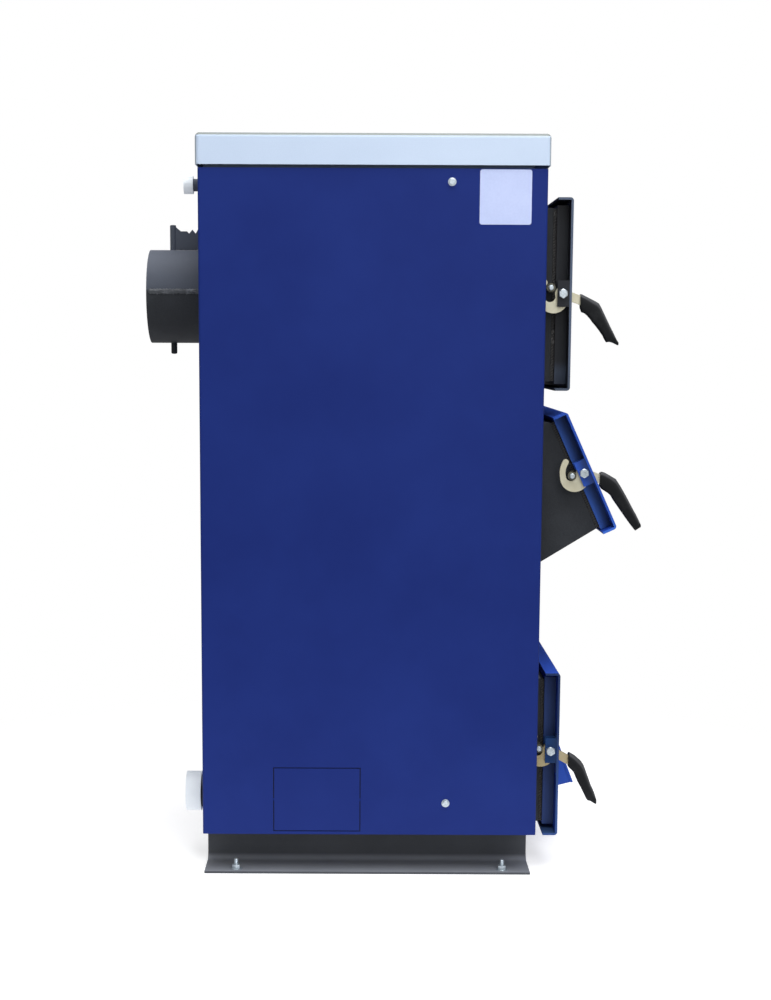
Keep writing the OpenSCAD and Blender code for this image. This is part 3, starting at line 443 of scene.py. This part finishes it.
FINISHES = {
    # In the powder coats, the third colour is a painted highlight on cut edges and on what faces up, and
    # the fourth a painted shade inside the door pans
    "casing_blue": material("casing_blue_powder_coat", powder_coat(
        rgb(0.0080, 0.0222, 0.163), rgb(0.0106, 0.0282, 0.190), rgb(0.010, 0.023, 0.165),
        rgb(0.009, 0.021, 0.160), 0.42, 0.00010), specular=0.12),
    # The door blue's lit and shade are painted light on the feed door and painted shade on the ash door
    "door_blue": material("door_blue_powder_coat", powder_coat(
        rgb(0.011, 0.040, 0.290), rgb(0.015, 0.052, 0.350), rgb(0.024, 0.085, 0.520),
        rgb(0.034, 0.062, 0.135), 0.40, 0.00010, painted_top_light=0.95, lit=rgb(0.047, 0.150, 0.600),
        shade=rgb(0.034, 0.076, 0.185)), specular=0.15),
    # A darker copy of the blue for the ash door's brackets, as painted shade
    "bracket_blue": material("bracket_powder_coat_painted_shade", powder_coat(
        rgb(0.010, 0.046, 0.165), rgb(0.012, 0.054, 0.190), rgb(0.012, 0.040, 0.140),
        rgb(0.010, 0.040, 0.140), 0.42, 0.00010), specular=0.12),
    # A brighter copy of the door blue for the air flap, its frame and the feed door's brackets, as painted
    # light
    "flap_blue": material("air_flap_powder_coat_painted_light", powder_coat(
        rgb(0.021, 0.076, 0.41), rgb(0.027, 0.092, 0.48), rgb(0.030, 0.105, 0.56), rgb(0.021, 0.076, 0.41),
        0.40, 0.00010), specular=0.15),
    # The graphite's pale blue third colour is a painted reflection on its cut edges and on what faces up
    "graphite": material("graphite_heat_paint", powder_coat(
        rgb(0.015, 0.017, 0.022), rgb(0.024, 0.027, 0.034), rgb(0.12, 0.16, 0.25), rgb(0.017, 0.020, 0.026),
        0.36, 0.00012), specular=0.22),
    "dark_steel": material("dark_grey_heat_paint", heat_paint(
        rgb(0.024, 0.027, 0.032), rgb(0.038, 0.042, 0.049), rgb(0.10, 0.105, 0.115), 0.50), specular=0.2),
    "weld": material("weld_bead", weld_bead),
    "vessel_steel": material("sooty_vessel_plate", soot_plate),
    "cast_iron": material("grate_casting", cast_bars),
    "lid_silver": material("lid_silver_powder_coat", silver_lid),
    "wool": material("mineral_wool", mineral_wool),
    # The faint emission of the white caps is a painted glow
    "white_plastic": material("white_cap_plastic_painted_glow", white_cap, emission_color=rgb(0.86, 0.93, 1.0),
                              emission_strength=0.16),
    "zinc_yellow": material("yellow_zinc_plate", yellow_zinc, metallic=0.75),
    "zinc": material("bright_zinc_plate", bright_zinc, metallic=0.8),
    "keeper_zinc": material("keeper_zinc_painted_shade", shaded_keeper_zinc, metallic=0.5),
    "gasket_rope": material("rope_gasket", rope_gasket),
    "black_plastic": material("black_grip_plastic", black_grip, specular=0.14),
    "sticker": material("blank_sticker_paper", sticker_paper),
}

# Nodes with a finish of their own; the others take the finish named like their slot
OWN_FINISH = {"air_flap": "flap_blue", "air_inlet_frame": "flap_blue", "feed_door_brackets": "flap_blue",
              "ash_door_brackets": "bracket_blue", "latch_keepers": "keeper_zinc"}
for row in frame["record"]["subparts"]:
    cad_piece = bpy.data.objects[row["node"]]
    cad_piece.data.materials.clear()
    cad_piece.data.materials.append(FINISHES[OWN_FINISH.get(row["node"], row["material_slot"])])


# Modelling

def begin(operator, name, **sizes):
    """Adds a primitive, with nothing else selected."""
    if bpy.context.mode != "OBJECT":
        bpy.ops.object.mode_set(mode="OBJECT")
    bpy.ops.object.select_all(action="DESELECT")
    operator(**sizes)
    piece = bpy.context.active_object
    piece.name = name
    piece.data.name = name
    return piece


def pick_faces(piece, wanted):
    """Goes to edit mode with the wanted faces selected."""
    if bpy.context.mode != "OBJECT":
        bpy.ops.object.mode_set(mode="OBJECT")
    bpy.context.tool_settings.mesh_select_mode = (False, False, True)
    for part in (piece.data.vertices, piece.data.edges):
        part.foreach_set("select", [False] * len(part))
    for face in piece.data.polygons:
        face.select = bool(wanted(face))
    bpy.ops.object.mode_set(mode="EDIT")


def top_face(piece):
    """A test for the face that lies highest and looks up."""
    highest = max(v.co.z for v in piece.data.vertices)
    return lambda face: face.normal.z > 0.9 and face.center.z > highest - 1e-6


def done(piece, smooth=35):
    """Leaves edit mode and smooths the edges that turn by less than this many degrees."""
    bpy.ops.object.mode_set(mode="OBJECT")
    bpy.ops.object.select_all(action="DESELECT")
    piece.select_set(True)
    bpy.context.view_layer.objects.active = piece
    bpy.ops.object.shade_smooth_by_angle(angle=math.radians(smooth))
    return piece


def apply_modifier(piece, kind, **settings):
    bpy.context.view_layer.objects.active = piece
    modifier = piece.modifiers.new(kind.lower(), kind)
    for name, value in settings.items():
        setattr(modifier, name, value)
    bpy.ops.object.modifier_apply(modifier=modifier.name)


def place(piece, turn, spot):
    """Puts the piece's place into its mesh."""
    piece.data.transform(Matrix.Translation(Vector(spot)) @ turn)
    piece.data.update()
    return piece


def copy_of(piece, name):
    """A copy with its own mesh."""
    twin = piece.copy()
    twin.data = piece.data.copy()
    twin.name = name
    twin.data.name = name
    scene.collection.objects.link(twin)
    return twin


def fit(piece, finish, body):
    """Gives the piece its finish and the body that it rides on."""
    piece.data.materials.clear()
    piece.data.materials.append(FINISHES[finish])
    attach(piece, body)
    return piece


def join(name, *pieces):
    """Makes one piece of several."""
    bpy.ops.object.select_all(action="DESELECT")
    for piece in pieces:
        piece.select_set(True)
    bpy.context.view_layer.objects.active = pieces[0]
    bpy.ops.object.join()
    pieces[0].name = name
    pieces[0].data.name = name
    return pieces[0]


def break_edges(piece, width, angle):
    """Rounds the edges that turn by more than the angle, in degrees."""
    apply_modifier(piece, "BEVEL", width=width, segments=2, limit_method="ANGLE",
                   angle_limit=math.radians(angle))


def blank_rod(name, r, length, sides):
    """A round or many-sided bar standing on the ground plane, to be shaped further."""
    piece = begin(bpy.ops.mesh.primitive_cylinder_add, name, vertices=sides, radius=r, depth=length,
                  location=(0, 0, length / 2))
    bpy.ops.object.transform_apply(location=True)
    return piece


def washer(name, d, bore, t):
    """A flat ring with broken edges, lying on the ground plane."""
    piece = blank_rod(name, d / 2, t, 48)
    pick_faces(piece, lambda face: abs(face.normal.z) > 0.9)
    bpy.ops.mesh.inset(thickness=(d - bore) / 2)
    bpy.ops.mesh.bridge_edge_loops()
    done(piece)
    break_edges(piece, t * 0.22, 50)
    return piece


def hex_head(name, flats, h, dished):
    """A hexagon head or nut standing on the ground plane, its top corners turned off."""
    piece = blank_rod(name, flats / math.sqrt(3), h, 6)
    turner = begin(bpy.ops.mesh.primitive_cone_add, name + "_turner", vertices=64,
                   radius1=flats * 0.5 + h * 1.55, radius2=flats * 0.46, depth=h, location=(0, 0, h / 2))
    bpy.ops.object.transform_apply(location=True)
    apply_modifier(piece, "BOOLEAN", operation="INTERSECT", object=turner, solver="EXACT")
    bpy.data.objects.remove(turner)
    bpy.ops.object.select_all(action="DESELECT")
    piece.select_set(True)
    if dished:
        pick_faces(piece, top_face(piece))
        bpy.ops.mesh.inset(thickness=flats * 0.1)
        bpy.ops.mesh.extrude_region_move(TRANSFORM_OT_translate={"value": (0, 0, -h * 0.10)})
    done(piece, 25)
    break_edges(piece, flats * 0.02, 25)
    return piece


def rippled_rod(name, r, length, pitch, dip, sides=24):
    """A rod with rings along it, for threads and weld beads, standing on the ground plane."""
    piece = blank_rod(name, r * (1 - dip), pitch / 4, sides)
    pick_faces(piece, top_face(piece))
    for ring in range(int(length / pitch)):
        for grow in (1 / (1 - dip), 1 - dip):
            bpy.ops.mesh.extrude_region_move(TRANSFORM_OT_translate={"value": (0, 0, pitch / 2)})
            bpy.ops.transform.resize(value=(grow, grow, 1))
    bpy.ops.mesh.inset(thickness=r * 0.2)
    bpy.ops.transform.translate(value=(0, 0, r * 0.15))
    return done(piece, 50)


def domed_end(name, d, h):
    """A rounded end for a rod, standing on the ground plane."""
    piece = blank_rod(name, d / 2, h * 0.4, 48)
    pick_faces(piece, top_face(piece))
    for rise, shrink in ((0.22, 0.90), (0.18, 0.82), (0.12, 0.78), (0.06, 0.72), (0.02, 0.5)):
        bpy.ops.mesh.extrude_region_move(TRANSFORM_OT_translate={"value": (0, 0, h * rise)})
        bpy.ops.transform.resize(value=(shrink, shrink, 1))
    return done(piece, 50)


def close_up(piece, smooth):
    """Turns every face outwards and leaves edit mode."""
    bpy.ops.mesh.select_all(action="SELECT")
    bpy.ops.mesh.normals_make_consistent(inside=False)
    return done(piece, smooth)


def drawn_solid(name, thick, edge, sections):
    """A flat solid drawn through upright sections: how far ahead, top and foot, all in millimetres."""
    thick, edge = thick / 1000, edge / 1000
    steps = [[size / 1000 for size in section] for section in sections]
    ahead, top, foot = steps[0]
    piece = begin(bpy.ops.mesh.primitive_plane_add, name, size=1)
    bpy.ops.object.mode_set(mode="EDIT")
    bpy.ops.transform.resize(value=(thick, top - foot, 1))
    bpy.ops.transform.translate(value=(0, (top + foot) / 2, ahead))
    bpy.ops.mesh.bevel(offset=edge, segments=4, affect="VERTICES")
    for next_ahead, next_top, next_foot in steps[1:]:
        rise = (next_top + next_foot - top - foot) / 2
        bpy.ops.mesh.extrude_region_move(TRANSFORM_OT_translate={"value": (0, rise, next_ahead - ahead)})
        bpy.ops.transform.resize(value=(1, (next_top - next_foot) / (top - foot), 1))
        ahead, top, foot = next_ahead, next_top, next_foot
    close_up(piece, 40)
    break_edges(piece, edge / 5, 65)
    return done(piece, 40)


UPRIGHT = Matrix.Identity(4)
UPSIDE_DOWN = Matrix.Rotation(math.pi, 4, "X")
TO_LEFT = Matrix.Rotation(math.radians(-90), 4, "Y")
TO_RIGHT = Matrix.Rotation(math.radians(90), 4, "Y")
TO_REAR = Matrix.Rotation(math.radians(-90), 4, "X")
TO_FRONT = Matrix.Rotation(math.radians(90), 4, "X")


# Anchors on the base

anchor = join(
    "anchor", washer("anchor_washer", d=0.020, bore=0.0085, t=0.0018),
    place(hex_head("anchor_nut", flats=0.0130, h=0.0068, dished=True), UPRIGHT, (0, 0, 0.0018)),
    place(rippled_rod("anchor_stud", r=0.004, length=0.0175, pitch=0.00125, dip=0.10), UPRIGHT,
          (0, 0, 0.0006)))
for number, (x, y) in enumerate(ANCHORS):
    stud = copy_of(anchor, f"anchor_{number + 1}")
    place(stud, Matrix.Rotation(0.5 + number, 4, "Z"), (x, y, FLANGE_TOP))
    fit(stud, "zinc", "boiler")
bpy.data.objects.remove(anchor)

# Screws that hold the side panels
SCREW_SPOTS = [(-0.132, 1.192), (-0.133, 0.129)]
panel_screw = join(
    "panel_screw", washer("panel_screw_washer", d=0.0140, bore=0.006, t=0.0012),
    place(hex_head("panel_screw_head", flats=0.0100, h=0.0042, dished=False), UPRIGHT, (0, 0, 0.0010)))
for number, (y, z) in enumerate(SCREW_SPOTS):
    for name, side, turn in (("left", -1, TO_LEFT), ("right", 1, TO_RIGHT)):
        screw = copy_of(panel_screw, f"panel_screw_{name}_{number + 1}")
        place(screw, turn @ Matrix.Rotation(0.4 + number, 4, "Z"), (side * SIDE_X, y, z))
        fit(screw, "zinc", "boiler")
bpy.data.objects.remove(panel_screw)

# Blank sticker on the left panel
STICKER_LOW = Vector((-0.2648, 1.1225))
STICKER_HIGH = Vector((-0.1783, 1.2125))
sticker_depth, sticker_height = STICKER_HIGH - STICKER_LOW
sticker = begin(bpy.ops.mesh.primitive_plane_add, "blank_sticker", size=1)
bpy.ops.object.mode_set(mode="EDIT")
bpy.ops.transform.resize(value=(sticker_height, sticker_depth, 1))
bpy.ops.mesh.bevel(offset=0.004, segments=5, affect="VERTICES")
bpy.ops.mesh.extrude_region_move(TRANSFORM_OT_translate={"value": (0, 0, 0.0003)})
close_up(sticker, 30)
place(sticker, TO_LEFT, (-SIDE_X - 0.00005, *((STICKER_LOW + STICKER_HIGH) / 2)))
fit(sticker, "sticker", "boiler")


# Pivot bolts of the latches, and the screws in the keepers

def lever_spot(pivot, turn, along, up):
    """A place in the upright plane, from a place along the lever."""
    return (pivot[0] + along * math.cos(turn) - up * math.sin(turn),
            pivot[1] + along * math.sin(turn) + up * math.cos(turn))


# For each latch: its pivot, how far its door leans, and how far its keeper lies above the pivot
LATCHES = {
    "cleaning": (CLEANING_PIVOT, 0.0, 0.010),
    "feed": (FEED_PIVOT, FEED_SLANT, 0.004),
    "ash": (ASH_PIVOT, 0.0, 0.004),
}
BRACKET_LEFT = LEVER_X - 0.010
BRACKET_RIGHT = LEVER_X + 0.010
KEEPER_END = -0.199
HEAD_TURN = Matrix.Rotation(math.radians(34), 4, "Z")
NUT_TURN = Matrix.Rotation(math.radians(17), 4, "Z")
KEEPER_TURN = Matrix.Rotation(0.3, 4, "Z")
bolt_head = hex_head("bolt_head", flats=0.0142, h=0.0062, dished=False)
bolt_nut = hex_head("bolt_nut", flats=0.0142, h=0.0070, dished=True)
keeper_screw = join(
    "keeper_screw", washer("keeper_washer", d=0.0090, bore=0.005, t=0.0012),
    place(hex_head("keeper_hex", flats=0.0075, h=0.0036, dished=False), UPRIGHT, (0, 0, 0.0011)))
for name, (pivot, slant, keeper_up) in LATCHES.items():
    head = copy_of(bolt_head, name + "_pivot_bolt")
    place(head, TO_LEFT @ HEAD_TURN, (BRACKET_LEFT, *pivot))
    fit(head, "zinc", name + "_door")
    nut = copy_of(bolt_nut, name + "_pivot_nut")
    place(nut, TO_RIGHT @ NUT_TURN, (BRACKET_RIGHT, *pivot))
    fit(nut, "zinc", name + "_door")
    screw = copy_of(keeper_screw, name + "_keeper_screw")
    place(screw, TO_LEFT @ KEEPER_TURN, (KEEPER_END, *lever_spot(pivot, -slant, KEEPER_BACK, keeper_up)))
    fit(screw, "zinc", "boiler")
for spare in (bolt_head, bolt_nut, keeper_screw):
    bpy.data.objects.remove(spare)

# Moulded grips on the levers, the top one with places for the fingers, in millimetres from the pivot
GRIP_THICK = 18
GRIP_EDGE = 5
GRIPS = {
    "cleaning": (CLEANING_PIVOT, [
        (30.5, -0.5, -24), (33, -1.0, -31), (38, -3.5, -32.5), (43, -6, -36.5),
        (48, -8.5, -42), (52, -10.5, -47.5), (57, -13, -53), (62, -16, -59),
        (66, -22.5, -64.5), (70, -30.5, -70), (73, -36.5, -76), (76.5, -43.5, -81.5),
        (82, -54.5, -80.8), (88, -66, -82.5), (93, -76, -85), (96.5, -81.5, -86.5)]),
    "feed": (FEED_PIVOT, [
        (28.5, 0.5, -23), (32, 1.8, -28), (37, 0.5, -31), (44, -3.3, -35.5),
        (48, -5.6, -39), (52, -8, -46), (56, -10.3, -51.5), (60.5, -17, -57.8),
        (66, -25.5, -65.4), (71.6, -35, -73.3), (77, -44.4, -80.6), (82.7, -54.8, -88.2),
        (88, -64.4, -94.9), (92, -71, -99.6), (96.5, -80, -96.3), (100.5, -88.5, -93.6)]),
    "ash": (ASH_PIVOT, [
        (32.5, -6.5, -29.5), (34, -4.8, -31.5), (39, -7.5, -36), (43, -10, -40.5),
        (46, -12, -48), (51, -16.5, -59), (56, -21, -68), (60, -27, -76),
        (63.5, -36, -83), (66, -43, -88), (68.5, -49.5, -91), (73, -62, -92),
        (77, -70, -94.5), (80, -77.5, -96.3), (83.5, -88, -97.5)]),
}
for name, (pivot, sections) in GRIPS.items():
    grip = drawn_solid(name + "_moulded_grip", GRIP_THICK, GRIP_EDGE, sections)
    place(grip, TO_FRONT, (LEVER_X, *pivot))
    fit(grip, "black_plastic", name + "_latch")
    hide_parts(name + "_grip")

# Side wings of the air flap, outside the cheeks of the inlet
ASH_DOOR_FACE = -0.3335
WING_X = 0.0572
WING = [(2, 203, 112.5), (9.5, 205, 114.5), (42, 127, 123)]
for side, name in ((-1, "left"), (1, "right")):
    wing = drawn_solid(f"air_flap_{name}_wing", 2.5, 0.4, WING)
    place(wing, TO_FRONT, (side * WING_X, ASH_DOOR_FACE, 0))
    fit(wing, "flap_blue", "air_flap")

# Foot of the throttle's handle, close over the flue
HANDLE_FOOT = [(0, 1093.2, 1091.3), (51, 1093.2, 1091.3)]
handle_foot = drawn_solid("throttle_handle_foot", 3.8, 0.15, HANDLE_FOOT)
place(handle_foot, TO_FRONT, (0, ROD_Y - 0.004, 0))
fit(handle_foot, "dark_steel", "flue_damper")

# Rounded ends of the throttle rod
rod_low, rod_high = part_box("damper")
ROD_ENDS = (("foot", UPSIDE_DOWN, rod_low[2], 0.0028), ("head", UPRIGHT, rod_high[2], 0.0016))
for name, turn, end, height in ROD_ENDS:
    cap = domed_end("throttle_rod_" + name, ROD_D, height)
    place(cap, turn, (0, ROD_Y, end))
    fit(cap, "dark_steel", "flue_damper")

# Weld along the flue spigot
SEAM_LENGTH = FLUE_REAR[1] - FLUE_REAR[0] - 0.005
SEAM_X = -math.sqrt(FLUE_R ** 2 - (SEAM_Z - FLUE_Z) ** 2)
seam = rippled_rod("flue_seam", r=0.0048, length=SEAM_LENGTH, pitch=0.0058, dip=0.22, sides=20)
bpy.ops.object.mode_set(mode="EDIT")
bpy.ops.mesh.select_all(action="SELECT")
bpy.ops.transform.resize(value=(0.55, 1.0, 1.0))
bpy.ops.transform.vertex_random(offset=0.0010, uniform=0.4, normal=0.0, seed=4)
done(seam, 60)
place(seam, TO_REAR, (SEAM_X, FLUE_REAR[0] + 0.001, SEAM_Z))
fit(seam, "weld", "boiler")


# Floor, light and camera

FLOOR_GLOW = 0.55


def floor_material():
    """Pale near the boiler, where it takes the shadow, and pure white further off."""
    made = bpy.data.materials.new("pale_floor")
    made.use_nodes = True
    tree = made.node_tree
    tree.nodes.clear()
    start = Wire(tree)
    places = start.node("ShaderNodeTexCoord", out="Object")
    away = (axis(places, "X") ** 2.0 + axis(places, "Y") ** 2.0) ** 0.5
    shaded = start.node("ShaderNodeBsdfDiffuse", {}, {"Color": rgb(0.8, 0.8, 0.8)})
    lit = start.node("ShaderNodeEmission", {}, {"Color": rgb(1, 1, 1), "Strength": FLOOR_GLOW})
    near = start.node("ShaderNodeAddShader", {}, {0: shaded, 1: lit})
    seen = start.node("ShaderNodeLightPath", out="Is Camera Ray")
    white = start.node("ShaderNodeEmission", {}, {"Color": rgb(1, 1, 1), "Strength": 0.45 + 0.55 * seen})
    surface = start.node("ShaderNodeMixShader", {}, {0: away.over(*FLOOR_FADE), 1: near, 2: white})
    start.node("ShaderNodeOutputMaterial", {}, {"Surface": surface})
    return made


floor = begin(bpy.ops.mesh.primitive_plane_add, "floor", size=60)
floor.data.materials.append(floor_material())

world = bpy.data.worlds.new("studio")
scene.world = world
world.use_nodes = True
world.node_tree.nodes.clear()
sky = Wire(world.node_tree)
seen = sky.node("ShaderNodeLightPath", out="Is Camera Ray")
glossy = sky.node("ShaderNodeLightPath", out="Is Glossy Ray")
through = sky.node("ShaderNodeLightPath", out="Is Transmission Ray")
white = seen.larger(through)
ahead = axis(sky.node("ShaderNodeTexCoord", out="Generated"), "X").over(-0.4, 0.6)
level = 0.43 * (1.0 - glossy) + glossy * (0.16 + 0.08 * ahead)
backdrop = sky.node("ShaderNodeBackground", {}, {"Color": rgb(1, 1, 1), "Strength": level.larger(white)})
sky.node("ShaderNodeOutputWorld", {}, {"Surface": backdrop})


def softbox(name, spot, aim, size, power):
    lamp = bpy.data.lights.new(name, "AREA")
    lamp.shape = "SQUARE"
    lamp.size = size
    lamp.energy = power
    holder = bpy.data.objects.new(name, lamp)
    holder.location = spot
    holder.rotation_euler = (Vector(aim) - Vector(spot)).to_track_quat("-Z", "Y").to_euler()
    scene.collection.objects.link(holder)


softbox("overhead_softbox", (-1.2, -0.4, 3.7), (0.0, 0.0, 0.7), 3.0, 128)
softbox("camera_side_softbox", (-3.6, -1.2, 2.0), (0.0, 0.0, 0.7), 2.2, 27)

CAMERA_SPOT = (-3.070, 0.0252, 0.921)
CAMERA_TURNS = ((-90, "Z"), (82.12, "X"), (0.25, "Z"))
camera = bpy.data.cameras.new("camera")
camera.lens = 60.1
camera.sensor_width = 36.0
camera.shift_x = 0.0295
camera.shift_y = 0.077
holder = bpy.data.objects.new("camera", camera)
holder.location = CAMERA_SPOT
yaw, tilt, roll = (Matrix.Rotation(math.radians(turn), 3, about) for turn, about in CAMERA_TURNS)
holder.rotation_euler = (yaw @ tilt @ roll).to_euler()
scene.collection.objects.link(holder)
scene.camera = holder
scene.view_settings.view_transform = "Standard"
